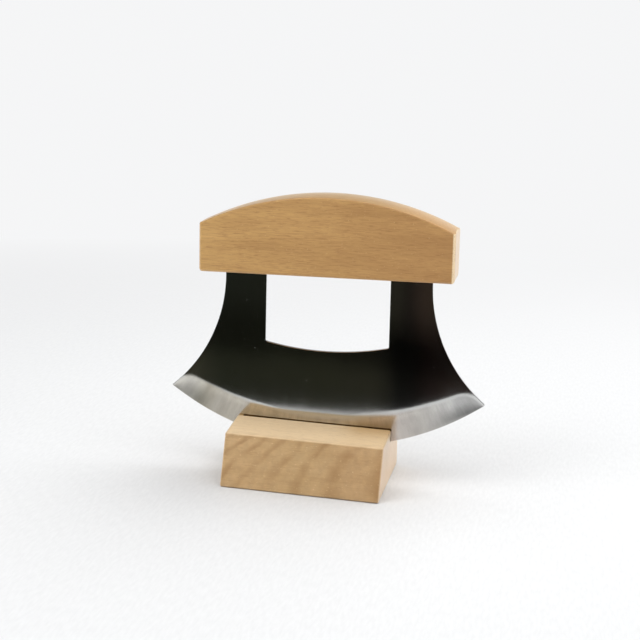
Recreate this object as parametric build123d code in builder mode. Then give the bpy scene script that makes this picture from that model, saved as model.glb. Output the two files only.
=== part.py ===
from build123d import *
import os
from math import cos, radians, sin

os.makedirs("parts", exist_ok=True)

# Ulu knife resting in its wooden stand, in millimetres.
# The origin is the centre of the stand's base. +X runs along the knife, +Y away from its front, +Z up.

# The whole knife
knife_height = 121.3            # lowest point of the cutting edge up to the crown of the handle

# Blade: one flat steel plate
blade_span = 152.4              # tip to tip
blade_thickness = 1.8
edge_rise = 25.0                # tips above the lowest point of the cutting edge
tang_inset = 10.6               # each tang's outer side in from the end of the handle
flank_start = 2.5               # the plate's sides curve outwards from this far below the handle
window_width = 59.3
window_depth = 34.0             # handle's underside down to the window's lower corners
window_sag = 3.4                # the window's lower side dips this much at its middle
bevel_width = 13.0
edge_land = 0.06                # thickness left at the cutting edge
tip_round = 0.5
window_round = 0.8

# Handle: one block of wood
handle_length = 120.4
handle_thickness = 23.4
handle_end_height = 23.4
handle_crown = 14.3             # arched top above the ends
shoulder_round = 1.4            # where the arch meets the flat ends
heel_round = 1.4                # along the lower ends
handle_easing = 1.0             # chamfer around the front and back faces

# Mortises in the handle and the adhesive in them
tang_depth = 14.0               # tang inside the handle
tang_round = 2.5
bond_film = 0.35                # adhesive between the plate and the wood
bond_cap = 1.2                  # adhesive above the end of the tang

# Stand: one block of wood
stand_length = 75.2
stand_base_depth = 66.0
stand_shoulder_depth = 52.0
stand_shoulder_height = 24.8
stand_height = 26.8
stand_land = 5.0                # level strip along the slot
stand_easing = 0.7
slot_width = 3.2                # a common saw cut

# Resting place: the cutting edge lies over the slot's round floor
slot_depth = 11.0               # lowest point of the cutting edge below the stand's top
floor_gap = 0.2                 # cutting edge above the slot's floor
rock_angle = 1.8                # degrees that the knife's right end is raised in its slot
edge_offset = 1.8               # centre of the cutting edge's circle to the right of the stand's middle

edge_radius = (blade_span**2 / 4 + edge_rise**2) / (2 * edge_rise)
edge_centre = Vector(edge_offset, 0, stand_height - slot_depth + edge_radius)
edge_axis = Axis(edge_centre, (0, 1, 0))

# The knife's plane lies in the middle of the steel plate and faces the front. Its origin is the
# lowest point of the cutting edge, its x runs along the knife and its y towards the handle.
rock = radians(rock_angle)
hub = Plane(edge_centre, x_dir=(cos(rock), 0, sin(rock)), z_dir=(0, -1, 0))
knife = hub.shift_origin(hub.from_local_coords(Vector(0, -edge_radius, 0)))

throat = knife_height - handle_crown - handle_end_height     # lowest point of the edge to the handle's underside
half_span = blade_span / 2
half_length = handle_length / 2
half_tangs = half_length - tang_inset
half_window = window_width / 2
tang_width = half_tangs - half_window
tang_middle = half_window + tang_width / 2
tang_top = throat + tang_depth
flank_top = throat - flank_start
window_corner = throat - window_depth

with BuildPart() as blade:
    with BuildSketch(knife) as plate:
        with BuildLine():
            ThreePointArc((-half_span, edge_rise), (0, 0), (half_span, edge_rise))
            ThreePointArc(
                (-half_window, window_corner),
                (0, window_corner - window_sag),
                (half_window, window_corner),
            )
            for side in (-1, 1):
                TangentArc(
                    (side * half_tangs, flank_top),
                    (side * half_span, edge_rise),
                    tangent=(0, -1),
                )
                Polyline(
                    (side * half_tangs, flank_top),
                    (side * half_tangs, tang_top),
                    (side * half_window, tang_top),
                    (side * half_window, window_corner),
                )
        make_face()
        fillet(plate.vertices().sort_by(Axis.X)[0], radius=tip_round)
        fillet(plate.vertices().sort_by(Axis.X)[-1], radius=tip_round)
        corners = plate.vertices().filter_by_position(
            Axis.Y, window_corner - window_round, window_corner + window_round
        )
        fillet(corners, radius=window_round)
        fillet(plate.vertices().group_by(Axis.Y)[-1], radius=tang_round)
    extrude(amount=blade_thickness / 2, both=True)

    # A double cone with its rim on the cutting edge leaves the ground bevels on both faces.
    bevel_slope = (blade_thickness - edge_land) / 2 / bevel_width
    cone_half = edge_land / 2 + bevel_slope * edge_radius
    with BuildSketch(Plane(edge_centre, x_dir=(1, 0, 0), z_dir=(0, 0, 1))):
        with BuildLine():
            Polyline(
                (0, -cone_half),
                (edge_radius, -edge_land / 2),
                (edge_radius, edge_land / 2),
                (0, cone_half),
                close=True,
            )
        make_face()
    revolve(axis=edge_axis, mode=Mode.INTERSECT)
blade.part.label = "blade"
export_step(blade.part, "parts/blade.step")

# The handle's underside, looking up into the wood
underside = Plane(
    knife.from_local_coords(Vector(0, throat, 0)),
    x_dir=knife.x_dir,
    z_dir=knife.y_dir,
)
mortise_width = tang_width + 2 * bond_film
mortise_thickness = blade_thickness + 2 * bond_film
mortise_depth = tang_depth + bond_cap

with BuildPart() as handle:
    with BuildSketch(knife) as profile:
        shoulder = throat + handle_end_height
        with BuildLine():
            Polyline(
                (-half_length, shoulder),
                (-half_length, throat),
                (half_length, throat),
                (half_length, shoulder),
            )
            ThreePointArc(
                (-half_length, shoulder),
                (0, shoulder + handle_crown),
                (half_length, shoulder),
            )
        make_face()
        fillet(profile.vertices().group_by(Axis.Y)[0], radius=heel_round)
        fillet(profile.vertices().group_by(Axis.Y)[-1], radius=shoulder_round)
    extrude(amount=handle_thickness / 2, both=True)
    broad_faces = handle.faces().sort_by(Axis.Y)
    chamfer(broad_faces[0].edges() + broad_faces[-1].edges(), length=handle_easing)
    with BuildSketch(underside):
        with Locations((-tang_middle, 0), (tang_middle, 0)):
            Rectangle(mortise_width, mortise_thickness)
    extrude(amount=mortise_depth, mode=Mode.SUBTRACT)
handle.part.label = "handle"
export_step(handle.part, "parts/handle.step")


def tang_bond(side):
    """Adhesive that fills one mortise round its tang."""
    with BuildPart() as bond:
        with BuildSketch(underside):
            with Locations((side * tang_middle, 0)):
                Rectangle(mortise_width, mortise_thickness)
        extrude(amount=mortise_depth)
        add(blade.part, mode=Mode.SUBTRACT)
    return bond.part


left_tang_bond = tang_bond(-1)
left_tang_bond.label = "left_tang_bond"
export_step(left_tang_bond, "parts/left_tang_bond.step")

right_tang_bond = tang_bond(1)
right_tang_bond.label = "right_tang_bond"
export_step(right_tang_bond, "parts/right_tang_bond.step")

with BuildPart() as stand:
    with BuildSketch(Plane.YZ) as section:
        with BuildLine():
            Polyline(
                (-stand_base_depth / 2, 0),
                (stand_base_depth / 2, 0),
                (stand_shoulder_depth / 2, stand_shoulder_height),
                (stand_land / 2, stand_height),
                (-stand_land / 2, stand_height),
                (-stand_shoulder_depth / 2, stand_shoulder_height),
                close=True,
            )
        make_face()
        foot_and_shoulders = section.vertices().sort_by(Axis.Y)[:4]
        fillet(foot_and_shoulders, radius=stand_easing)
    extrude(amount=stand_length / 2, both=True)
    end_faces = stand.faces().sort_by(Axis.X)
    fillet(end_faces[0].edges() + end_faces[-1].edges(), radius=stand_easing)

    # The slot is a plunge cut whose round floor follows the cutting edge.
    with BuildSketch(hub):
        Circle(edge_radius + floor_gap)
    extrude(amount=slot_width / 2, both=True, mode=Mode.SUBTRACT)
stand.part.label = "stand"
export_step(stand.part, "parts/stand.step")
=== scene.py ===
import math
import bmesh
import bpy
from mathutils import Matrix, Vector, noise
from mathutils.geometry import delaunay_2d_cdt


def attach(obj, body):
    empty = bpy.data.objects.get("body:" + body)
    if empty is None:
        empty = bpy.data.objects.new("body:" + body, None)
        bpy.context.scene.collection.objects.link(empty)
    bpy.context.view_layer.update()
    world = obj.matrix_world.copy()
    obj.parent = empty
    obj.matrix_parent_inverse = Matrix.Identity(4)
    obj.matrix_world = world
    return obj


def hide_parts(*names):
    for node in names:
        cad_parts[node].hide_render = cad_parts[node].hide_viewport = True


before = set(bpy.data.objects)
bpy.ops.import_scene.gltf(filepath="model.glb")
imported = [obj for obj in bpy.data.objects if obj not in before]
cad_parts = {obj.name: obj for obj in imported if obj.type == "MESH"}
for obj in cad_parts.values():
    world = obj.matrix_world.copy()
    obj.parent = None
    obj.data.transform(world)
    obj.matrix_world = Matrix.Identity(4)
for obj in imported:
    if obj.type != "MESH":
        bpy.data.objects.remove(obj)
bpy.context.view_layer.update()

MM = 0.001

# Sizes of the real pieces, as in the solids
BLADE_SPAN = 152.4 * MM
BLADE_THICKNESS = 1.8 * MM
EDGE_RISE = 25.0 * MM
THROAT = 83.6 * MM
TANG_SPAN = 99.2 * MM
FLANK_START = 2.5 * MM
WINDOW_WIDTH = 59.3 * MM
WINDOW_DEPTH = 34.0 * MM
WINDOW_SAG = 3.4 * MM
BEVEL_WIDTH = 13.0 * MM
EDGE_LAND = 0.06 * MM
TIP_ROUND = 0.5 * MM
WINDOW_ROUND = 0.8 * MM
TANG_DEPTH = 14.0 * MM
TANG_ROUND = 2.5 * MM
BOND_FILM = 0.35 * MM
BOND_CAP = 1.2 * MM
HANDLE_LENGTH = 120.4 * MM
HANDLE_THICKNESS = 23.4 * MM
HANDLE_END_HEIGHT = 23.4 * MM
HANDLE_CROWN = 14.3 * MM
SHOULDER_ROUND = 1.4 * MM
HEEL_ROUND = 1.4 * MM
HANDLE_EASING = 1.0 * MM
STAND_LENGTH = 75.2 * MM
STAND_BASE_DEPTH = 66.0 * MM
STAND_SHOULDER_DEPTH = 52.0 * MM
STAND_SHOULDER_HEIGHT = 24.8 * MM
STAND_HEIGHT = 26.8 * MM
STAND_LAND = 5.0 * MM
SLOT_WIDTH = 3.2 * MM
SLOT_DEPTH = 11.0 * MM
FLOOR_GAP = 0.2 * MM
ROCK = math.radians(1.8)
EDGE_OFFSET = 1.8 * MM

# Small forms that the solids don't have
EDGE_BREAK = 0.12 * MM          # along the plate's edges
FACE_CROWNING = 0.02 * MM       # across the handle's ends and underside
TOP_CROWNING = 0.45 * MM        # across the handle's arched top
ARRIS_SOFTENING = 0.14 * MM
STAND_EASING = 1.0 * MM         # on the stand's arrises, where the solid has 0.7
SANDING = 0.05 * MM             # how unevenly the wood's arrises are sanded
SANDING_SPAN = 11 * MM
SHARP_ANGLE = math.radians(38)  # edges of the wood that turn more than this stay sharp

# The ground bevel's upper border, in millimetres; lists start with the place along the knife
BORDER_RISE = 0.6               # in the middle, above the solid's
BORDER_FALL = 3.4               # from the middle to the tips
BORDER_WAVER = 0.3              # up and down, over the span below
WAVER_SPAN = 9 * MM
BORDER_SHIFT = [(8, 0), (19, 0.3), (28, 0.3), (34, 0.1), (40, 0.0), (47, -0.6), (61, -1.4), (68, -0.8)]
# Share of the bevel's slope over which the face rolls into it, and the blur of its ground look
ROLL_OVER = [
    (-60, 0.11), (-35, 0.10), (-20, 0.06), (0, 0.06), (12, 0.12),
    (19, 0.20), (30, 0.20), (40, 0.17), (60, 0.14),
]
GRIND_BLUR = [(10, 1.9), (19, 3.0), (29, 3.0), (40, 1.9)]

EDGE_RADIUS = (BLADE_SPAN**2 / 4 + EDGE_RISE**2) / (2 * EDGE_RISE)
EDGE_CENTRE = Vector((EDGE_OFFSET, 0, STAND_HEIGHT - SLOT_DEPTH + EDGE_RADIUS))
FLANK_TOP = THROAT - FLANK_START
FLANK_REACH = BLADE_SPAN / 2 - TANG_SPAN / 2
FLANK_FALL = FLANK_TOP - EDGE_RISE
FLANK_RADIUS = (FLANK_REACH**2 + FLANK_FALL**2) / (2 * FLANK_REACH)
ALONG = Vector((math.cos(ROCK), 0, math.sin(ROCK)))
UP = Vector((-math.sin(ROCK), 0, math.cos(ROCK)))
FRONT = Vector((0, -1, 0))


def knife_point(u, v, w):
    """A point u along the knife, v above its edge's lowest point and w in front of the plate's middle."""
    return EDGE_CENTRE + ALONG * u + UP * (v - EDGE_RADIUS) + FRONT * w


def arc(centre, radius, start, end, step):
    """Points on an arc between two angles, the first one left out."""
    count = max(2, round(abs(end - start) * radius / step))
    angles = [start + (end - start) * i / count for i in range(1, count + 1)]
    return [Vector((centre[0] + radius * math.cos(a), centre[1] + radius * math.sin(a))) for a in angles]


def straight(start, end, step):
    """Points on a straight line, the first one left out."""
    start, end = Vector(start), Vector(end)
    count = max(1, round((end - start).length / step))
    return [start.lerp(end, i / count) for i in range(1, count + 1)]


def round_corner(points, corner, radius, steps=6):
    """The closed outline with an arc in place of its point nearest to a corner."""
    near = min(range(len(points)), key=lambda i: (points[i] - Vector(corner)).length)
    corner = points[near]
    count = len(points)

    def walk(way, reach):
        """Follow the outline from the corner for a given reach, and say where that ends."""
        left, here, index = reach, corner, near
        while True:
            index = (index + way) % count
            hop = (points[index] - here).length
            if hop >= left:
                return here.lerp(points[index], left / hop), index
            left -= hop
            here = points[index]

    before = (walk(-1, radius)[0] - corner).normalized()
    after = (walk(1, radius)[0] - corner).normalized()
    half = before.angle(after) / 2
    reach = radius / math.tan(half)
    start, last_kept = walk(-1, reach)
    end, first_kept = walk(1, reach)
    centre = corner + (before + after).normalized() * (radius / math.sin(half))
    from_centre, to_end = start - centre, end - centre
    turn = from_centre.angle_signed(to_end)
    curve = []
    for i in range(steps + 1):
        swing = Matrix.Rotation(-turn * i / steps, 2)
        curve.append(centre + swing @ from_centre)
    kept, index = [], first_kept
    while index != last_kept:
        kept.append(points[index])
        index = (index + 1) % count
    kept.append(points[last_kept])
    return kept + curve


def normals(points):
    """Outward unit normals of a closed outline that runs anticlockwise."""
    found = []
    for i, here in enumerate(points):
        before = (here - points[i - 1]).normalized()
        after = (points[(i + 1) % len(points)] - here).normalized()
        along = (before + after).normalized()
        found.append(Vector((along.y, -along.x)))
    return found


def blade_outline(step=0.7 * MM):
    """The steel plate's outline, anticlockwise from its left tip."""
    half_span, half_tangs, half_window = BLADE_SPAN / 2, TANG_SPAN / 2, WINDOW_WIDTH / 2
    tang_top = THROAT + TANG_DEPTH
    corner = THROAT - WINDOW_DEPTH
    swing = math.asin(half_span / EDGE_RADIUS)
    down = -math.pi / 2
    flank_turn = math.asin(FLANK_FALL / FLANK_RADIUS)
    window_radius = (half_window**2 + WINDOW_SAG**2) / (2 * WINDOW_SAG)
    window_turn = math.asin(half_window / window_radius)
    window_centre = (0, corner - WINDOW_SAG + window_radius)
    flank_centre = half_tangs + FLANK_RADIUS
    points = arc((0, EDGE_RADIUS), EDGE_RADIUS, down - swing, down + swing, step)
    points += arc((flank_centre, FLANK_TOP), FLANK_RADIUS, math.pi + flank_turn, math.pi, step)
    points += straight((half_tangs, FLANK_TOP), (half_tangs, tang_top), step)
    points += straight((half_tangs, tang_top), (half_window, tang_top), step)
    points += straight((half_window, tang_top), (half_window, corner), step)
    points += arc(window_centre, window_radius, down + window_turn, down - window_turn, step)
    points += straight((-half_window, corner), (-half_window, tang_top), step)
    points += straight((-half_window, tang_top), (-half_tangs, tang_top), step)
    points += straight((-half_tangs, tang_top), (-half_tangs, FLANK_TOP), step)
    points += arc((-flank_centre, FLANK_TOP), FLANK_RADIUS, 0, -flank_turn, step)
    for side in (-1, 1):
        points = round_corner(points, (side * half_span, EDGE_RISE), TIP_ROUND, 4)
        points = round_corner(points, (side * half_window, corner), WINDOW_ROUND, 5)
        points = round_corner(points, (side * half_window, tang_top), TANG_ROUND)
        points = round_corner(points, (side * half_tangs, tang_top), TANG_ROUND)
    return points


def between(value, stops):
    """Straight interpolation through stops of (value, result), level beyond the first and the last."""
    for (low, start), (high, end) in zip(stops[:-1], stops[1:]):
        if value < high:
            return start + (end - start) * min(max((value - low) / (high - low), 0), 1)
    return stops[-1][1]


def bevel_width_at(u):
    """The grind is widest in the middle and wavers a little, as a hand-held one does."""
    far = abs(u) / (BLADE_SPAN / 2)
    waver = noise.noise(Vector((u / WAVER_SPAN, 3.7, 0))) * BORDER_WAVER
    shift = between(u / MM, BORDER_SHIFT)
    return BEVEL_WIDTH + (BORDER_RISE - BORDER_FALL * far**3 + waver + shift) * MM


def flank_gap(u, v):
    """Distance from a point inside the plate to its flank arc on the same side."""
    return math.hypot(TANG_SPAN / 2 + FLANK_RADIUS - abs(u), v - FLANK_TOP) - FLANK_RADIUS


def edge_distance(u, v):
    """Distance from a point inside the plate to the cutting edge."""
    return EDGE_RADIUS - math.hypot(u, v - EDGE_RADIUS)


def soft_min(a, b, reach):
    """The lesser of two values, rounded where they are less than a reach apart."""
    overlap = max(reach - abs(a - b), 0.0)
    return min(a, b) - overlap**2 / (4 * reach)


def smooth_step(value):
    """0 below 0 and 1 above 1, with a smooth course between."""
    value = min(max(value, 0), 1)
    return value * value * (3 - 2 * value)


def ground_reach(u, v):
    """How far a point lies inside the ground bevel, whose upper border rounds down beside each flank."""
    left_bare, curve = (0.8 * MM, 8 * MM) if u > 0 else (0.1 * MM, 4 * MM)
    above = bevel_width_at(u) - edge_distance(u, v)
    beside = flank_gap(u, v) - left_bare
    return soft_min(above, beside, curve), beside


def half_thickness(u, v):
    """Half the plate's thickness: flat above, then rolling over softly into the ground bevel."""
    reach, beside = ground_reach(u, v)
    bluntest, blunted = 0.25 * MM, 6 * MM
    blunt = bluntest * max(0.0, 1 - max(beside, 0) / blunted)
    if reach > 0:
        taken = reach / (reach + max(edge_distance(u, v), 0) + blunt)
    else:
        taken = reach / BEVEL_WIDTH
    soft = between(u / MM, ROLL_OVER)
    if abs(taken) < soft:
        taken = (taken + soft)**2 / (4 * soft)
    return BLADE_THICKNESS / 2 - (BLADE_THICKNESS - EDGE_LAND) / 2 * max(taken, 0)


def grind_share(u, v):
    """1 on the ground bevel and 0 on the polished face, with a soft border."""
    reach, beside = ground_reach(u, v)
    narrowest, lowered = 0.5 * MM, 0.15 * MM
    blur = min(between(u / MM, GRIND_BLUR) * MM, narrowest + 0.5 * max(beside, 0))
    return smooth_step((reach - lowered) / blur + 0.5)


def flat_mesh(loop, inner):
    """Points and triangles inside a closed outline, through scattered inner points."""
    count = len(loop)
    edges = [(i, (i + 1) % count) for i in range(count)]
    points = list(loop) + list(inner)
    inside_only, least_gap = 1, 0.0005 * MM
    found = delaunay_2d_cdt(points, edges, [list(range(count))], inside_only, least_gap)
    first = [min(sources) if sources else None for sources in found[3]]
    for i, spot in enumerate(found[0]):
        if first[i] is None:
            points.append(spot)
            first[i] = len(points) - 1
    triangles = [[first[i] for i in face] for face in found[2]]
    return points, [face for face in triangles if len(set(face)) == len(face)]


def inside(point, loop):
    """Whether a point lies inside a closed outline."""
    x, y = point
    hit = False
    for i, a in enumerate(loop):
        b = loop[i - 1]
        if (a.y > y) != (b.y > y) and x < (b.x - a.x) * (y - a.y) / (b.y - a.y) + a.x:
            hit = not hit
    return hit


def new_object(name, bm, material):
    """A mesh object with one material, its faces turned outwards."""
    bmesh.ops.recalc_face_normals(bm, faces=bm.faces)
    mesh = bpy.data.meshes.new(name)
    bm.to_mesh(mesh)
    bm.free()
    mesh.materials.append(material)
    made = bpy.data.objects.new(name, mesh)
    bpy.context.collection.objects.link(made)
    return made


def blade_grid():
    """Points over the plate: rows along the bevel, a coarse grid above and a dense one at the right tip."""
    fine, spacing, fine_depth = 0.75 * MM, 1.5 * MM, 20 * MM
    found = []
    count = int(BLADE_SPAN * 1.1 / spacing)
    for row in range(1, int(fine_depth / fine)):
        radius = EDGE_RADIUS - row * fine
        for i in range(count + 1):
            turn = (i / count - 0.5) * BLADE_SPAN * 1.2 / EDGE_RADIUS
            found.append(Vector((radius * math.sin(turn), EDGE_RADIUS - radius * math.cos(turn))))
    coarse, coarse_start = 2.2 * MM, 20.5 * MM
    columns, lines = int(BLADE_SPAN / coarse), int((THROAT + TANG_DEPTH) / coarse)
    for column in range(columns + 1):
        for line in range(lines + 1):
            p = Vector(((column - columns / 2 + 0.5 * (line % 2)) * coarse, line * coarse))
            if edge_distance(*p) > coarse_start:
                found.append(p)
    tip = Vector((BLADE_SPAN / 2, EDGE_RISE))
    near_tip, dense = 12 * MM, 0.4 * MM
    found = [p for p in found if (p - tip).length > near_tip]
    cells = round(near_tip / dense)
    for i in range(-cells, cells + 1):
        for j in range(-cells, cells + 1):
            p = tip + Vector((i + 0.5 * (j % 2), j)) * dense
            if (p - tip).length < near_tip:
                found.append(p)
    return found


def make_blade(material):
    """Polished plate with softly ground bevels and lightly broken edges."""
    outer = blade_outline()
    outward = normals(outer)
    broken = [min(EDGE_BREAK, 0.35 * half_thickness(*p)) for p in outer]
    rim = [p - n * b for p, n, b in zip(outer, outward, broken)]
    margin = 0.3 * MM
    shrunk = [p - n * margin for p, n in zip(rim, outward)]
    flat, faces = flat_mesh(rim, [p for p in blade_grid() if inside(p, shrunk)])
    rim_count = len(rim)

    bm = bmesh.new()
    sides = []
    for way in (1, -1):
        verts = [bm.verts.new(knife_point(p.x, p.y, way * half_thickness(p.x, p.y))) for p in flat]
        sides.append(verts)
        for face in faces:
            bm.faces.new([verts[i] for i in face])
    walls = []
    for way in (1, -1):
        walls.append([
            bm.verts.new(knife_point(p.x, p.y, way * (half_thickness(p.x, p.y) - b)))
            for p, b in zip(outer, broken)
        ])
    loops = (sides[0], walls[0], walls[1], sides[1])
    for i in range(rim_count):
        j = (i + 1) % rim_count
        for one, other in zip(loops[:-1], loops[1:]):
            bm.faces.new((one[i], one[j], other[j], other[i]))
    for face in bm.faces:
        face.smooth = True
    for loop in loops:
        for i in range(rim_count):
            bm.edges.get((loop[i], loop[(i + 1) % rim_count])).smooth = False
    places = [(p.x, p.y) for p in flat] * 2 + [(p.x, p.y) for p in outer] * 2
    blade = new_object("steel_blade", bm, material)

    # For the material: the share of grinding, the plate's narrow sides, and the place on the bevel as
    # length along the edge, height above the edge and that height as a share of the bevel's
    grind = blade.data.attributes.new("grind", "FLOAT", "POINT")
    wall = blade.data.attributes.new("wall", "FLOAT", "POINT")
    sweep = blade.data.attributes.new("sweep", "FLOAT_VECTOR", "POINT")
    least_height = 0.3 * MM
    for i, (u, v) in enumerate(places):
        grind.data[i].value = grind_share(u, v)
        wall.data[i].value = 1.0 if i >= 2 * len(flat) else 0.0
        turn = math.atan2(u, EDGE_RADIUS - v)
        up = edge_distance(u, v)
        below = ground_reach(u, v)[0]
        sweep.data[i].vector = (turn * EDGE_RADIUS, up, up / max(below + up, least_height))
    return blade


def bend(centre, radius, start, end, step):
    """Points of a convex arc, each with its outward normal, both ends included."""
    count = max(4, round(abs(end - start) * radius / step))
    rays = [start + (end - start) * i / count for i in range(count + 1)]
    rays = [Vector((math.cos(ray), math.sin(ray))) for ray in rays]
    return [(Vector(centre) + ray * radius, ray) for ray in rays]


def closed_outline(bends, step):
    """Joins convex bends by straight lines, anticlockwise."""
    found = []
    for i, curve in enumerate(bends):
        found += curve
        end, start = curve[-1][0], bends[(i + 1) % len(bends)][0][0]
        along = (start - end).normalized()
        found += [(p, Vector((along.y, -along.x))) for p in straight(end, start, step)[:-1]]
    return found


def handle_outline(step=2.0 * MM, fine=0.5 * MM):
    """The wooden handle's outline from its lower right heel."""
    half = HANDLE_LENGTH / 2
    shoulder = THROAT + HANDLE_END_HEIGHT
    radius = (half**2 + HANDLE_CROWN**2) / (2 * HANDLE_CROWN)
    middle = shoulder + HANDLE_CROWN - radius
    across = half - SHOULDER_ROUND
    up = math.sqrt((radius - SHOULDER_ROUND)**2 - across**2)
    turn = math.atan2(up, across)
    right, quarter = 0.0, math.pi / 2
    heel = half - HEEL_ROUND, THROAT + HEEL_ROUND
    arch = bend((0, middle), radius, turn, math.pi - turn, step)
    crown = bend((across, middle + up), SHOULDER_ROUND, right, turn, step)[:-1] + arch
    crown += bend((-across, middle + up), SHOULDER_ROUND, math.pi - turn, math.pi, step)[1:]
    return closed_outline([
        bend(heel, HEEL_ROUND, -quarter, right, fine),
        crown,
        bend((-heel[0], heel[1]), HEEL_ROUND, math.pi, 3 * quarter, fine),
    ], step)


def stand_outline(step=2.0 * MM, fine=0.2 * MM):
    """Cross-section of the stand, as (depth, height)."""
    corners = [Vector(c) for c in (
        (STAND_BASE_DEPTH / 2, 0),
        (STAND_SHOULDER_DEPTH / 2, STAND_SHOULDER_HEIGHT),
        (STAND_LAND / 2, STAND_HEIGHT),
        (-STAND_LAND / 2, STAND_HEIGHT),
        (-STAND_SHOULDER_DEPTH / 2, STAND_SHOULDER_HEIGHT),
        (-STAND_BASE_DEPTH / 2, 0),
    )]
    bends = []
    for i, corner in enumerate(corners):
        back = (corners[i - 1] - corner).normalized()
        on = (corners[(i + 1) % len(corners)] - corner).normalized()
        start, end = Vector((-back.y, back.x)), Vector((on.y, -on.x))
        half = back.angle(on) / 2
        centre = corner + (back + on).normalized() * (STAND_EASING / math.sin(half))
        first = math.atan2(start.y, start.x)
        swing = (math.atan2(end.y, end.x) - first) % (2 * math.pi)
        bends.append(bend(centre, STAND_EASING, first, first + swing, fine))
    return closed_outline(bends, step)


def rounded_edge(half_width, easing):
    """Quarter round from a broad face to the rim, as (inset, half width)."""
    steps = 7
    swings = [math.pi / 2 * i / steps for i in range(steps + 1)]
    return [(easing * (1 - math.sin(a)), half_width - easing * (1 - math.cos(a))) for a in swings]


def chamfered_edge(half_width, easing, crowning):
    """Chamfer from a broad face to a crowned rim, its arrises sanded round, as (inset, half width)."""
    soft = ARRIS_SOFTENING
    slant = soft * math.sqrt(0.5)
    beyond, down_rim = 0.15 * MM, Vector((0.05 * MM, 0.6 * MM))
    face, rim = Vector((easing, half_width)), Vector((crowning, half_width - easing + crowning))
    found = [face + Vector((soft + beyond, 0))]
    for before, corner, after, count in (
        (face + Vector((soft, 0)), face, face - Vector((slant, slant)), 3),
        (rim + Vector((2 * slant, 2 * slant)), rim, rim - down_rim, 5),
    ):
        for i in range(count + 1):
            s = i / count
            found.append(before.lerp(corner, s).lerp(corner.lerp(after, s), s))
    last, steps = found[-1], 6
    for i in range(1, steps + 1):
        w = last.y * (1 - i / steps)
        found.append(Vector((last.x * (w / last.y)**2, w)))
    return [tuple(p) for p in found]


def block(name, outline, place, stations, easing, material, on_top=None, grid=3.0 * MM):
    """A block with a flat outline, its faces eased into its rim, its corners sanded a little unevenly.

    The stations lead from a broad face to the rim, those given for the top fade in where the rim faces up.
    """
    outline, outward = [p for p, n in outline], [n for p, n in outline]
    pairs = list(zip(stations, on_top or stations))
    profile = [(a, b, 1) for a, b in pairs] + [(a, b, -1) for a, b in reversed(pairs) if a[1] > 0]
    bm = bmesh.new()
    rings = []
    for plain, crowned, way in profile:
        ring = []
        for p, n in zip(outline, outward):
            facing_up = smooth_step((n.y - 0.5) / 0.35)
            inset, w = Vector(plain).lerp(Vector(crowned), facing_up)
            w *= way
            q = p - n * inset
            uneven = noise.noise(Vector((q.x, q.y, w)) / SANDING_SPAN) - 1
            sanded = SANDING * uneven * max(1 - inset / easing, 0)
            ring.append(bm.verts.new(place(*(q + n * sanded), w)))
        rings.append(ring)
    count = len(outline)
    for one, other in zip(rings[:-1], rings[1:]):
        for i in range(count):
            j = (i + 1) % count
            bm.faces.new((one[i], one[j], other[j], other[i]))
    low = Vector((min(p.x for p in outline), min(p.y for p in outline)))
    high = Vector((max(p.x for p in outline), max(p.y for p in outline)))
    inset, half_width = stations[0]
    cap = [p - n * inset for p, n in zip(outline, outward)]
    shrunk = [p - n * (inset + 0.4 * grid) for p, n in zip(outline, outward)]
    inner = []
    for i in range(int((high.x - low.x) / grid) + 1):
        for j in range(int((high.y - low.y) / grid) + 1):
            p = low + Vector((i, j)) * grid
            if inside(p, shrunk):
                inner.append(p)
    flat, faces = flat_mesh(cap, inner)
    for ring, w in ((rings[0], half_width), (rings[-1], -half_width)):
        verts = ring + [bm.verts.new(place(p.x, p.y, w)) for p in flat[count:]]
        for face in faces:
            bm.faces.new([verts[i] for i in face])
    same_place = 0.001 * MM
    bmesh.ops.remove_doubles(bm, verts=bm.verts, dist=same_place)
    for face in bm.faces:
        face.smooth = True
    return new_object(name, bm, material)


def prism(outline, place, half_width):
    """A plain cutter with a flat outline."""
    bm = bmesh.new()
    near = [bm.verts.new(place(x, y, half_width)) for x, y in outline]
    far = [bm.verts.new(place(x, y, -half_width)) for x, y in outline]
    bm.faces.new(near)
    bm.faces.new(list(reversed(far)))
    for i in range(len(near)):
        j = (i + 1) % len(near)
        bm.faces.new((near[i], far[i], far[j], near[j]))
    return bm


def cut(piece, cutters):
    """Takes the cutters' shapes out of a piece for good."""
    for bm in cutters:
        cutter = new_object("cutter", bm, piece.data.materials[0])
        modifier = piece.modifiers.new("cut", "BOOLEAN")
        modifier.object = cutter
        modifier.operation = "DIFFERENCE"
        modifier.solver = "EXACT"
        bpy.context.view_layer.update()
        graph = bpy.context.evaluated_depsgraph_get()
        result = bpy.data.meshes.new_from_object(piece.evaluated_get(graph))
        piece.modifiers.clear()
        old = piece.data
        piece.data = result
        result.name = piece.name
        bpy.data.meshes.remove(old)
        bpy.data.objects.remove(cutter)
    piece.data.set_sharp_from_angle(angle=SHARP_ANGLE)


def section_point(depth, height, along):
    """A point of the stand, from its place in the cross-section and along the knife."""
    return Vector((along, depth, height))


def make_handle(material):
    """Arched wooden handle with the two mortises for the tangs."""
    half = HANDLE_THICKNESS / 2
    flat, crowned = [chamfered_edge(half, HANDLE_EASING, each) for each in (FACE_CROWNING, TOP_CROWNING)]
    handle = block("wooden_handle", handle_outline(), knife_point, flat, HANDLE_EASING, material, crowned)
    half_window, half_tangs = WINDOW_WIDTH / 2, TANG_SPAN / 2
    bottom, top = THROAT - BOND_CAP, THROAT + TANG_DEPTH + BOND_CAP
    cutters = []
    for side in (-1, 1):
        near, far = side * (half_window - BOND_FILM), side * (half_tangs + BOND_FILM)
        outline = [(near, bottom), (far, bottom), (far, top), (near, top)]
        cutters.append(prism(outline, knife_point, BLADE_THICKNESS / 2 + BOND_FILM))
    cut(handle, cutters)
    return handle


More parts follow.
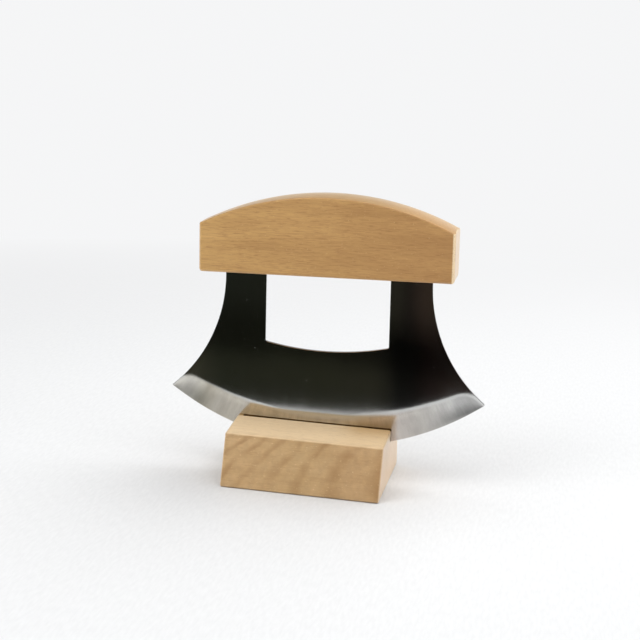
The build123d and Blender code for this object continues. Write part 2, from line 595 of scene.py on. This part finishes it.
def make_stand(material):
    """Wooden block with the slot for the cutting edge."""
    edge = rounded_edge(STAND_LENGTH / 2, STAND_EASING)
    stand = block("wooden_stand", stand_outline(), section_point, edge, STAND_EASING, material)
    turn = math.asin((STAND_LENGTH / 2 + 2 * EDGE_OFFSET) / EDGE_RADIUS)
    radius = EDGE_RADIUS + FLOOR_GAP
    down, step = -math.pi / 2, 1.0 * MM
    floor = arc((0, EDGE_RADIUS), radius, down - turn, down + turn, step)
    outline = floor + [Vector((x, STAND_HEIGHT)) for x in (floor[-1].x, floor[0].x)]
    cut(stand, [prism(outline, knife_point, SLOT_WIDTH / 2)])
    return stand


class Nodes:
    """Short calls that add nodes to one material."""

    COLOUR_A, COLOUR_B, COLOUR_MIXED = 6, 7, 2

    def __init__(self, name):
        self.material = bpy.data.materials.new(name)
        self.material.use_nodes = True
        self.tree = self.material.node_tree
        self.shader = self.tree.nodes["Principled BSDF"]

    def add(self, kind, **settings):
        node = self.tree.nodes.new(kind)
        for key, value in settings.items():
            setattr(node, key, value)
        return node

    def link(self, start, end):
        self.tree.links.new(start, end)

    def fill(self, socket, value):
        if isinstance(value, bpy.types.NodeSocket):
            self.link(value, socket)
        else:
            socket.default_value = value

    def math(self, operation, a, b=0.0):
        node = self.add("ShaderNodeMath", operation=operation)
        self.fill(node.inputs[0], a)
        self.fill(node.inputs[1], b)
        return node.outputs[0]

    def sum(self, a, b):
        return self.math("ADD", a, b)

    def less(self, a, b):
        return self.math("SUBTRACT", a, b)

    def times(self, a, b):
        return self.math("MULTIPLY", a, b)

    def over(self, a, b):
        return self.math("DIVIDE", a, b)

    def attribute(self, name, output):
        return self.add("ShaderNodeAttribute", attribute_name=name).outputs[output]

    def own(self, output):
        """The piece's own coordinates or normal."""
        return self.add("ShaderNodeTexCoord").outputs[output]

    def place(self, scale=(1, 1, 1), rotation=(0, 0, 0), location=(0, 0, 0), source=None):
        node = self.add("ShaderNodeMapping")
        node.inputs["Scale"].default_value = scale
        node.inputs["Rotation"].default_value = rotation
        node.inputs["Location"].default_value = location
        self.link(source or self.own("Object"), node.inputs["Vector"])
        return node.outputs["Vector"]

    def separate(self, vector, axis):
        node = self.add("ShaderNodeSeparateXYZ")
        self.link(vector, node.inputs[0])
        return node.outputs[axis]

    def noise(self, vector, scale=1.0, detail=2.0, roughness=0.5, distortion=0.0):
        node = self.add("ShaderNodeTexNoise")
        self.link(vector, node.inputs["Vector"])
        node.inputs["Scale"].default_value = scale
        node.inputs["Detail"].default_value = detail
        node.inputs["Roughness"].default_value = roughness
        node.inputs["Distortion"].default_value = distortion
        return node.outputs["Fac"]

    def ramp(self, value, stops, colour=False):
        """Map a value through stops of (position, value or colour)."""
        node = self.add("ShaderNodeValToRGB")
        self.link(value, node.inputs["Fac"])
        ramp = node.color_ramp
        while len(ramp.elements) < len(stops):
            ramp.elements.new(0.5)
        for element, (position, shade) in zip(ramp.elements, stops):
            element.position = position
            element.color = (*shade, 1) if colour else (shade, shade, shade, 1)
        return node.outputs["Color"]

    def mix(self, factor, a, b, blend="MIX"):
        node = self.add("ShaderNodeMix", data_type="RGBA", blend_type=blend)
        self.fill(node.inputs["Factor"], factor)
        for socket, colour in ((self.COLOUR_A, a), (self.COLOUR_B, b)):
            given = isinstance(colour, bpy.types.NodeSocket)
            self.fill(node.inputs[socket], colour if given else (*colour, 1))
        return node.outputs[self.COLOUR_MIXED]

    def tint(self, base, by):
        return self.mix(1.0, base, by, "MULTIPLY")

    def bump(self, height, strength, distance):
        node = self.add("ShaderNodeBump")
        node.inputs["Strength"].default_value = strength
        node.inputs["Distance"].default_value = distance
        self.link(height, node.inputs["Height"])
        return node.outputs["Normal"]

    def set(self, **values):
        for key, value in values.items():
            self.fill(self.shader.inputs[key.replace("_", " ")], value)


STEEL = (0.62, 0.625, 0.615)
STEEL_SIDES = (0.93, 0.93, 0.92)
DUST = (0.75, 0.75, 0.74)
SWEEP_SPAN = 160 * MM           # length along the edge over which the bevel's tones run

# Painted reflection: how bright the bevel is from the edge, 0, to its upper border, 1: in the middle and at
# the two ends
MIDDLE_SHADE = [
    (0.0, 0.62), (0.05, 0.56), (0.32, 0.555), (0.62, 0.52),
    (0.70, 0.53), (0.85, 0.60), (0.95, 0.56),
]
LEFT_SHADE = [
    (0.0, 0.52), (0.04, 0.36), (0.16, 0.33), (0.38, 0.39),
    (0.56, 0.50), (0.70, 0.62), (0.85, 0.71),
]
RIGHT_SHADE = [
    (0.0, 0.50), (0.04, 0.34), (0.16, 0.26), (0.30, 0.31),
    (0.43, 0.38), (0.55, 0.46), (0.66, 0.54), (0.80, 0.59),
]
# Painted reflection: the bevel's tone from its left tip to its right one
BEVEL_PAINTED_REFLECTION = [
    (0.04, (1.05, 1.02, 0.93)),
    (0.065, (0.95, 0.92, 0.81)),
    (0.09, (0.71, 0.67, 0.56)),
    (0.115, (0.82, 0.77, 0.655)),
    (0.14, (1.0, 0.94, 0.82)),
    (0.19, (0.97, 0.905, 0.78)),
    (0.30, (1.03, 0.975, 0.88)),
    (0.60, (1.03, 0.965, 0.88)),
    (0.69, (1.03, 0.94, 0.88)),
    (0.80, (0.94, 0.90, 0.84)),
    (0.92, (1.0, 0.995, 0.97)),
    (0.95, (0.76, 0.76, 0.75)),
]


def steel_material():
    """Mirror-polished plate with a satin bevel ground across its edge."""
    n = Nodes("blade_steel")
    grind, wall = n.attribute("grind", "Fac"), n.attribute("wall", "Fac")
    sweep = n.attribute("sweep", "Vector")
    level = n.separate(sweep, "Z")
    half_level = n.times(level, 0.5)
    across = n.sum(n.over(n.separate(sweep, "X"), SWEEP_SPAN), 0.5)

    strokes = n.noise(n.place(scale=(1300, 60, 1), source=sweep), detail=5.0, roughness=0.7)
    broad = n.noise(n.place(scale=(230, 45, 1), source=sweep), detail=3.0)
    polish = n.noise(n.place(scale=(55, 55, 22)), detail=5.0, roughness=0.6)
    hairlines = n.noise(n.place(scale=(900, 900, 40), rotation=(0, 0.16, 0)), detail=2.0)
    specks = n.add("ShaderNodeTexVoronoi")
    specks.inputs["Scale"].default_value = 230
    n.link(n.place(), specks.inputs["Vector"])
    dot = n.ramp(specks.outputs["Distance"], [(0.022, 0.8), (0.040, 0.0)])
    chosen = n.ramp(n.separate(specks.outputs["Color"], "X"), [(0.60, 0.0), (0.62, 1.0)])
    dust = n.times(dot, chosen)

    scuffed = n.ramp(polish, [(0.3, 0.07), (0.7, 0.10)])
    face_rough = n.sum(scuffed, n.ramp(hairlines, [(0.5, 0.0), (0.8, 0.02)]))
    rough = n.mix(grind, face_rough, n.ramp(strokes, [(0.3, 0.10), (0.7, 0.17)]))
    border = n.ramp(half_level, [(0.44, 0.0), (0.50, 0.05), (0.56, 0.045), (0.70, 0.0)])
    softer = n.ramp(across, [(0.55, 0.0), (0.60, 1.0), (0.68, 1.0), (0.73, 0.0)])
    rough = n.sum(rough, n.times(border, softer))
    rough = n.mix(dust, rough, (0.6, 0.6, 0.6))
    rough = n.mix(wall, rough, (0.2, 0.2, 0.2))

    # Painted reflection: the bevel's brightness across its height, blended from the middle out to the two
    # tips
    left = n.ramp(across, [(0.05, 1.0), (0.085, 0.85), (0.115, 0.35), (0.15, 0.25), (0.20, 0.0)])
    right = n.ramp(across, [(0.79, 0.0), (0.86, 0.55), (0.92, 1.0)])
    painted_reflection = n.mix(left, n.ramp(level, MIDDLE_SHADE), n.ramp(level, LEFT_SHADE))
    painted_reflection = n.mix(right, painted_reflection, n.ramp(level, RIGHT_SHADE))
    streak = n.sum(n.times(broad, 0.6), n.times(strokes, 0.4))
    ground = n.tint(painted_reflection, n.ramp(streak, [(0.36, 0.81), (0.64, 1.05)]))
    # Painted reflection along the bevel, from tip to tip
    ground = n.tint(ground, n.ramp(across, BEVEL_PAINTED_REFLECTION, colour=True))
    # Painted reflection: a bluish band just under the bevel's upper border, in the middle
    upper = n.ramp(half_level, [(0.43, 0.0), (0.49, 1.0), (0.56, 1.0), (0.60, 0.0)])
    middle = n.ramp(across, [(0.34, 0.0), (0.42, 1.0), (0.58, 1.0), (0.64, 0.0)])
    ground = n.mix(n.times(upper, middle), ground, n.tint(ground, (1.0, 1.04, 1.16)))
    colour = n.mix(grind, STEEL, ground)
    colour = n.mix(dust, colour, DUST)
    colour = n.mix(wall, colour, STEEL_SIDES)
    n.set(Base_Color=colour, Metallic=1.0, Roughness=rough)
    n.set(Normal=n.bump(n.times(strokes, grind), 0.15, 0.02 * MM))
    return n.material


def flecked(n, base, grain, dotted, lined, shade, bright):
    """A wood's base colour under short dark pores and a few light specks, and where the pores are."""
    pores = n.noise(n.place(scale=(260, 1900, 1900), source=grain), detail=3.0, roughness=0.6)
    fine = n.noise(n.place(scale=(150, 2600, 2600), source=grain), detail=2.0)
    light = n.noise(n.place(scale=(800, 1700, 1700), location=(3, 1, 2), source=grain), detail=2.0)
    marks = n.ramp(pores, [(0.54, 0.0), (0.70, dotted)])
    lines = n.ramp(fine, [(0.45, 0.0), (0.70, lined)])
    specks = n.ramp(light, [(0.66, 0.0), (0.76, 0.6)])
    colour = n.mix(marks, base, shade)
    colour = n.mix(lines, colour, shade)
    return n.mix(specks, colour, bright), marks


def finish_wood(n, colour, bands, marks, coat):
    """A thin clear finish over wood, with a faint relief of its bands and pores."""
    n.set(Base_Color=colour, Roughness=n.ramp(bands, [(0.3, 0.42), (0.7, 0.34)]))
    n.set(Specular_IOR_Level=0.5, Coat_Weight=coat, Coat_Roughness=0.28)
    n.set(Normal=n.bump(n.less(bands, marks), 0.3, 0.04 * MM))
    return n.material


# Painted light on the handle: its painted falloff and the painted light on its arched top from left to
# right, the top's painted sheen from front to back, and the ends' painted sheen from where a face starts to
# turn sideways
HANDLE_PAINTED_FALLOFF = [
    (0.0, (1.11, 1.13, 1.10)),
    (0.18, (1.0, 0.985, 0.94)),
    (0.5, (0.955, 0.925, 0.895)),
    (1.0, (0.88, 0.815, 0.79)),
]
CROWN_PAINTED_LIGHT = [
    (0.3, (0.52, 0.34, 0.15)),
    (0.55, (0.51, 0.33, 0.14)),
    (0.71, (0.545, 0.35, 0.15)),
    (0.83, (0.625, 0.39, 0.165)),
    (1.0, (0.65, 0.41, 0.185)),
]
CROWN_PAINTED_SHEEN = [(0.0, (0.90, 0.84, 0.76)), (0.5, (1, 1, 1)), (1.0, (1.08, 1.19, 1.40))]
END_PAINTED_SHEEN = [(0.75, (0.96, 0.75, 0.46)), (0.95, (0.75, 0.52, 0.28))]


def handle_wood_material():
    """Fine-grained pale hardwood, its grain along the knife."""
    n = Nodes("handle_wood")
    grain = n.place(rotation=(0, ROCK, 0), location=(-ALONG.dot(EDGE_CENTRE), 0, 0))
    bands = n.noise(n.place(scale=(16, 120, 150), source=grain), detail=4.0, roughness=0.6, distortion=0.3)
    cloud = n.noise(n.place(scale=(20, 30, 30), source=grain), detail=2.0)
    base = n.ramp(bands, [(0.32, (0.490, 0.275, 0.093)), (0.66, (0.620, 0.372, 0.139))], colour=True)
    base = n.mix(n.ramp(cloud, [(0.35, 0.0), (0.75, 0.45)]), base, (0.578, 0.337, 0.121))
    lengthways = n.sum(n.over(n.separate(grain, "X"), HANDLE_LENGTH), 0.5)
    # Painted light: the handle brighter at the left and darker at the right
    base = n.tint(base, n.ramp(lengthways, HANDLE_PAINTED_FALLOFF, colour=True))

    # A painted sheen pales both ends over their end grain, and painted shade darkens the arris round the
    # arched top a little
    normal = n.own("Normal")
    sideways, facing = n.math("ABSOLUTE", n.separate(normal, "X")), n.separate(normal, "Z")
    # Painted sheen, palest where a face starts to turn sideways
    end_sheen = n.ramp(sideways, END_PAINTED_SHEEN, colour=True)
    base = n.mix(n.ramp(lengthways, [(0.9895, 0.0), (0.9920, 1.0)]), base, end_sheen)
    at_left = n.ramp(lengthways, [(0.008, 1.0), (0.0105, 0.0)])
    endways = n.ramp(sideways, [(0.975, 0.0), (0.99, 1.0)])
    base = n.mix(n.times(at_left, endways), base, end_sheen)
    # Painted shade: a fifth of black on the arris round the arched top
    base = n.mix(n.ramp(facing, [(0.52, 0.0), (0.60, 0.2), (0.76, 0.2), (0.82, 0.0)]), base, (0, 0, 0))
    # Painted light on the arched top: brighter to the right, with a painted sheen paler towards the back
    rearwards = n.sum(n.over(n.separate(grain, "Y"), HANDLE_THICKNESS), 0.5)
    crown = n.ramp(lengthways, CROWN_PAINTED_LIGHT, colour=True)
    crown = n.tint(crown, n.ramp(rearwards, CROWN_PAINTED_SHEEN, colour=True))
    base = n.mix(n.ramp(facing, [(0.80, 0.0), (0.88, 1.0)]), base, crown)
    colour, marks = flecked(n, base, grain, 0.50, 0.34, (0.30, 0.125, 0.035), (0.72, 0.50, 0.25))
    return finish_wood(n, colour, bands, marks, 0.7)


# The growth rings across the stand, in millimetres
RING_SPACING = 17.0
RING_CROWDING = 0.1             # how much closer they lie towards the left
RING_FAN = 0.0158               # how they draw together with height
RING_SLANT = 0.32
RING_CURVE = 0.020
RING_SKEW = 0.2                 # their shift from front to back
RING_WAVER = 12.0

# The lengths, in millimetres, by which places on the stand are told: all along it, out to one end, up,
# from its middle to the front, and from its middle to the slot's sides
TONE_LENGTH, END_LENGTH, TONE_HEIGHT, FRONT_DEPTH, SLOT_REACH = 80.0, 40.0, 30.0, -20.0, 10.0
STAND_WOOD = [(0.32, (0.54, 0.347, 0.162)), (0.68, (0.60, 0.40, 0.203))]
STAND_RING = (0.40, 0.235, 0.096)
STAND_END_SHEEN = (0.80, 0.575, 0.36)
STAND_TOP_SHEEN = (0.96, 0.745, 0.475)
STAND_TOP_PATCH = (0.74, 0.49, 0.235)
STAND_SAWN = (0.70, 0.44, 0.18)
STAND_PAINTED_FALLOFF = [(0.2, (1.02, 1.01, 1.0)), (0.5, (0.97, 0.975, 0.965)), (0.8, (0.94, 0.91, 0.91))]


def stand_wood_material():
    """The same wood with its growth rings cut across, as soft slanting streaks."""
    n = Nodes("stand_wood")
    where = n.own("Object")
    x, y, z = [n.over(n.separate(where, axis), MM) for axis in "XYZ"]
    bend = n.noise(n.place(scale=(45, 45, 60)), detail=3.0, roughness=0.6)
    leaning = n.times(x, n.sum(n.times(z, RING_FAN), 1.0))
    rising = n.times(z, n.sum(n.times(z, RING_CURVE), RING_SLANT))
    field = n.sum(n.less(leaning, rising), n.sum(n.times(y, RING_SKEW), n.times(bend, RING_WAVER)))
    field = n.over(field, RING_SPACING)
    ring = n.math("FRACT", n.less(field, n.times(n.times(field, field), RING_CROWDING)))
    dark_line = n.ramp(ring, [(0.0, 0.15), (0.45, 0.0), (0.74, 0.85), (0.84, 0.9), (1.0, 0.15)])
    fade = n.noise(n.place(scale=(90, 90, 90), location=(5, 2, 1)), detail=3.0)
    figure = n.times(dark_line, n.ramp(fade, [(0.35, 0.2), (0.62, 1.0)]))
    bands = n.noise(n.place(scale=(20, 180, 260)), detail=4.0, roughness=0.6)
    mottle = n.noise(n.place(scale=(260, 260, 200), rotation=(0, 0.7, 0)), detail=3.0, roughness=0.6)
    base = n.tint(n.ramp(bands, STAND_WOOD, colour=True), n.ramp(mottle, [(0.3, 0.90), (0.7, 1.07)]))
    base = n.mix(figure, base, STAND_RING)
    # Painted light: the stand brighter at the left end and darker at the right
    base = n.tint(base, n.ramp(n.sum(n.over(x, TONE_LENGTH), 0.5), STAND_PAINTED_FALLOFF, colour=True))

    # Painted sheen on the end faces and on the sloping top, a darker patch at the top's right, and the sawn
    # slot
    ends = n.ramp(n.over(n.math("ABSOLUTE", x), END_LENGTH), [(0.925, 0.0), (0.935, 1.0)])
    # Painted sheen on both end faces
    base = n.mix(n.times(ends, 0.8), base, STAND_END_SHEEN)
    share_up = n.over(z, TONE_HEIGHT)
    # Painted sheen on the sloping top
    base = n.mix(n.ramp(share_up, [(0.80, 0.0), (0.835, 0.9)]), base, STAND_TOP_SHEEN)
    at_right = n.ramp(n.over(x, END_LENGTH), [(0.30, 0.0), (0.58, 1.0)])
    before_slot = n.ramp(n.over(y, FRONT_DEPTH), [(0.0, 0.0), (0.10, 1.0), (0.75, 0.2)])
    patch = n.times(n.times(at_right, before_slot), n.ramp(share_up, [(0.80, 0.0), (0.835, 1.0)]))
    base = n.mix(patch, base, STAND_TOP_PATCH)
    sawn = n.ramp(n.over(n.math("ABSOLUTE", y), SLOT_REACH), [(0.17, 1.0), (0.19, 0.0)])
    base = n.mix(n.times(sawn, n.less(1.0, ends)), base, STAND_SAWN)
    colour, marks = flecked(n, base, where, 0.30, 0.12, (0.35, 0.19, 0.07), (0.78, 0.58, 0.34))
    return finish_wood(n, colour, bands, marks, 0.5)


def bond_material():
    """Cured adhesive."""
    n = Nodes("tang_adhesive")
    mottle = n.noise(n.place(scale=(900, 900, 900)), detail=3.0)
    n.set(Base_Color=n.ramp(mottle, [(0.3, (0.30, 0.19, 0.09)), (0.7, (0.42, 0.28, 0.14))], colour=True))
    n.set(Roughness=0.45)
    n.set(Normal=n.bump(mottle, 0.3, 0.03 * MM))
    return n.material


BACKGROUND = (0.915, 0.918, 0.925)
SKY_TINT = (0.97, 0.98, 1.0)
SKY_LIGHT = 0.05                # on matt faces
SKY_MIRRORED = 0.16             # in the steel
BACKDROP_MIRRORED = 0.9         # in the steel, low down behind the knife
# Where the backdrop starts and is full, by direction
BACKDROP_REACH = (("Y", 0.3, 0.8), ("Z", 0.24, 0.06))
FLOOR_HALF = 6.0
HAZE_SPAN = 2.0
FLOOR_COLOUR = [(0.3, (0.65, 0.655, 0.66)), (0.7, (0.69, 0.695, 0.70))]


def floor_material():
    """Pale table that melts into the background far from the knife."""
    n = Nodes("pale_floor")
    weave = n.noise(n.place(scale=(700, 150, 1)), detail=3.0)
    n.set(Base_Color=n.ramp(weave, FLOOR_COLOUR, colour=True))
    n.set(Roughness=0.75, Specular_IOR_Level=0.15)
    away = n.add("ShaderNodeVectorMath", operation="LENGTH")
    n.link(n.place(), away.inputs[0])
    far = n.ramp(n.over(away.outputs["Value"], HAZE_SPAN), [(0.08, 0.0), (0.36, 1.0)])
    haze = n.add("ShaderNodeEmission")
    haze.inputs["Color"].default_value = (*BACKGROUND, 1)
    blend = n.add("ShaderNodeMixShader")
    n.link(far, blend.inputs[0])
    n.link(n.shader.outputs[0], blend.inputs[1])
    n.link(haze.outputs[0], blend.inputs[2])
    n.link(blend.outputs[0], n.tree.nodes["Material Output"].inputs[0])
    return n.material


# The dark card, whose colours are painted reflections for the steel: where they start, their span and
# height, then the colours from left to right, low down and high up, and how bright they are from the floor
# up
CARD_START, CARD_SPAN, CARD_TALL = -0.10, 0.17, 0.08
CARD_DRIFT = 0.02
CARD_LOW = [
    (0.0, (0.085, 0.080, 0.052)),
    (0.14, (0.034, 0.037, 0.022)),
    (0.48, (0.040, 0.040, 0.024)),
    (0.66, (0.042, 0.040, 0.026)),
    (0.715, (0.022, 0.021, 0.015)),
    (0.735, (0.006, 0.006, 0.0045)),
    (0.80, (0.006, 0.005, 0.004)),
    (0.86, (0.017, 0.009, 0.007)),
    (0.95, (0.038, 0.024, 0.019)),
]
CARD_HIGH = [
    (0.0, (0.085, 0.090, 0.065)),
    (0.14, (0.046, 0.052, 0.036)),
    (0.66, (0.050, 0.048, 0.031)),
    (0.70, (0.040, 0.039, 0.027)),
    (0.731, (0.077, 0.073, 0.049)),
    (0.78, (0.043, 0.035, 0.028)),
    (0.828, (0.117, 0.080, 0.058)),
    (0.95, (0.10, 0.07, 0.05)),
]
CARD_LEVEL = [
    (0.0, 0.62), (0.10, 0.5), (0.22, 0.62), (0.30, 0.55),
    (0.42, 0.22), (0.55, 0.2), (0.9, 0.34),
]
CARD_FOOT = (0.075, 0.075, 0.07)


def dark_card_material():
    """A glowing card, a painted reflection of a dim room, which the polished steel mirrors."""
    n = Nodes("dark_card")
    where = n.own("Object")
    soft = n.noise(n.place(scale=(22, 22, 9)), detail=3.0)
    drift = n.times(n.less(soft, 0.5), CARD_DRIFT)
    along = n.over(n.sum(n.sum(n.separate(where, "X"), drift), -CARD_START), CARD_SPAN)
    height = n.over(n.sum(n.separate(where, "Z"), drift), CARD_TALL)
    low, high = n.ramp(along, CARD_LOW, colour=True), n.ramp(along, CARD_HIGH, colour=True)
    colour = n.mix(n.ramp(height, [(0.55, 0.0), (0.78, 1.0)]), low, high)
    colour = n.tint(colour, n.ramp(height, CARD_LEVEL))
    # Painted reflection: a paler foot on the card, before the stand only
    near_floor = n.ramp(height, [(0.0, 1.0), (0.075, 0.0)])
    before_stand = n.ramp(along, [(0.53, 0.0), (0.58, 1.0), (0.62, 1.0), (0.67, 0.0)])
    colour = n.mix(n.times(near_floor, before_stand), colour, CARD_FOOT)
    glow = n.add("ShaderNodeEmission")
    n.link(colour, glow.inputs["Color"])
    n.link(glow.outputs[0], n.tree.nodes["Material Output"].inputs[0])
    return n.material


def panel(name, corners, material):
    """A flat stage panel."""
    bm = bmesh.new()
    bm.faces.new([bm.verts.new(corner) for corner in corners])
    made = new_object(name, bm, material)
    return made


# The card stands before the knife, its lower edge a little raised at the right
CARD_DISTANCE = 0.118
CARD_OUTLINE = [
    (-1, 0), (0.022, 0), (0.035, 0.003), (0.052, 0.011),
    (0.07, 0.016), (1, 0.016), (1, 0.6), (-1, 0.6),
]


def make_stage():
    """Pale floor, and a dark card that only mirrored rays see."""
    corners = [(FLOOR_HALF * i, FLOOR_HALF * j, 0) for i, j in ((-1, -1), (1, -1), (1, 1), (-1, 1))]
    panel("floor", corners, floor_material())
    dark = panel("dark_card", [(x, -CARD_DISTANCE, z) for x, z in CARD_OUTLINE], dark_card_material())
    dark.visible_camera = False
    dark.visible_diffuse = False
    dark.visible_shadow = False
    dark.visible_transmission = False
    dark.visible_volume_scatter = False
    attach(dark, "knife")


def make_world():
    """A sky that is the pale background to the camera, dim elsewhere, and mirrored with the backdrop."""
    world = bpy.data.worlds.new("studio")
    bpy.context.scene.world = world
    world.use_nodes = True
    tree = world.node_tree
    links = tree.links
    direction = tree.nodes.new("ShaderNodeTexCoord")
    split = tree.nodes.new("ShaderNodeSeparateXYZ")
    links.new(direction.outputs["Generated"], split.inputs[0])
    path = tree.nodes.new("ShaderNodeLightPath")

    def glow(strength, colour=SKY_TINT):
        """An even light from all round."""
        made = tree.nodes.new("ShaderNodeBackground")
        made.inputs["Color"].default_value = (*colour, 1)
        made.inputs["Strength"].default_value = strength
        return made

    def backdrop(around, strength):
        """The pale backdrop low down behind the knife, under a dimmer sky."""
        made = glow(strength)
        shares = []
        for axis, start, end in BACKDROP_REACH:
            share = tree.nodes.new("ShaderNodeMapRange")
            share.inputs["From Min"].default_value = start
            share.inputs["From Max"].default_value = end
            links.new(split.outputs[axis], share.inputs["Value"])
            shares.append(share)
        both = tree.nodes.new("ShaderNodeMath")
        both.operation = "MULTIPLY"
        for share, socket in zip(shares, both.inputs):
            links.new(share.outputs["Result"], socket)
        blend = tree.nodes.new("ShaderNodeMixShader")
        links.new(both.outputs[0], blend.inputs[0])
        links.new(around.outputs[0], blend.inputs[1])
        links.new(made.outputs[0], blend.inputs[2])
        return blend

    def choose(ray, otherwise, chosen):
        """One light for rays of a kind and another for the rest."""
        blend = tree.nodes.new("ShaderNodeMixShader")
        links.new(path.outputs[ray], blend.inputs[0])
        links.new(otherwise.outputs[0], blend.inputs[1])
        links.new(chosen.outputs[0], blend.inputs[2])
        return blend

    sky = choose("Is Glossy Ray", glow(SKY_LIGHT), backdrop(glow(SKY_MIRRORED), BACKDROP_MIRRORED))
    sky = choose("Is Camera Ray", sky, glow(1.0, BACKGROUND))
    links.new(sky.outputs[0], tree.nodes["World Output"].inputs[0])


# Soft lamps, as (name, place, width, power, whether the steel mirrors it)
LAMPS = (
    ("overhead", (0, -0.15, 1.1), 1.4, 14.4, False),
    ("left_window", (-0.7, -0.7, 0.6), 0.8, 6.0, True),
    ("right_window", (0.9, -0.1, 0.4), 0.8, 2.6, True),
    ("back_window", (0.5, 0.7, 0.7), 1.2, 10.3, False),
)
LAMP_TARGET = Vector((0, 0, 0.04))


def make_lights():
    """Soft lamps above, at both sides and behind."""
    for name, place, width, power, mirrored in LAMPS:
        data = bpy.data.lights.new(name, "AREA")
        data.shape = "RECTANGLE"
        data.size = data.size_y = width
        data.energy = power
        lamp = bpy.data.objects.new(name, data)
        lamp.location = place
        lamp.rotation_euler = (LAMP_TARGET - Vector(place)).to_track_quat("-Z", "Y").to_euler()
        lamp.visible_glossy = mirrored
        bpy.context.collection.objects.link(lamp)


# Solved on the photograph's outlines
CAMERA_PLACE = (0.11666, -0.67492, 0.22087)
CAMERA_TURN = math.radians(9.79)
CAMERA_DIP = math.radians(11.867)
CAMERA_ROLL = math.radians(3.081)
FOCAL_PIXELS = 1473.94
PHOTO_WIDTH = 640
SENSOR = 36.0


def make_camera():
    """The photograph's viewpoint and frame."""
    data = bpy.data.cameras.new("camera")
    data.sensor_width = SENSOR
    data.lens = FOCAL_PIXELS / PHOTO_WIDTH * SENSOR
    data.clip_start = 0.01
    camera = bpy.data.objects.new("camera", data)
    turn = Matrix.Rotation(CAMERA_TURN, 4, "Z")
    dip = Matrix.Rotation(math.pi / 2 - CAMERA_DIP, 4, "X")
    roll = Matrix.Rotation(CAMERA_ROLL, 4, "Z")
    camera.matrix_world = Matrix.Translation(CAMERA_PLACE) @ turn @ dip @ roll
    bpy.context.collection.objects.link(camera)
    bpy.context.scene.camera = camera


make_camera()
make_stage()
make_world()
make_lights()

blade = make_blade(steel_material())
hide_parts("blade")
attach(blade, "knife")

handle = make_handle(handle_wood_material())
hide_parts("handle")
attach(handle, "knife")

stand = make_stand(stand_wood_material())
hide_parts("stand")
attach(stand, "stand")

bond = bond_material()
for name in ("left_tang_bond", "right_tang_bond"):
    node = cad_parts[name]
    node.data.materials.clear()
    node.data.materials.append(bond)

bpy.context.scene.view_settings.view_transform = "Standard"
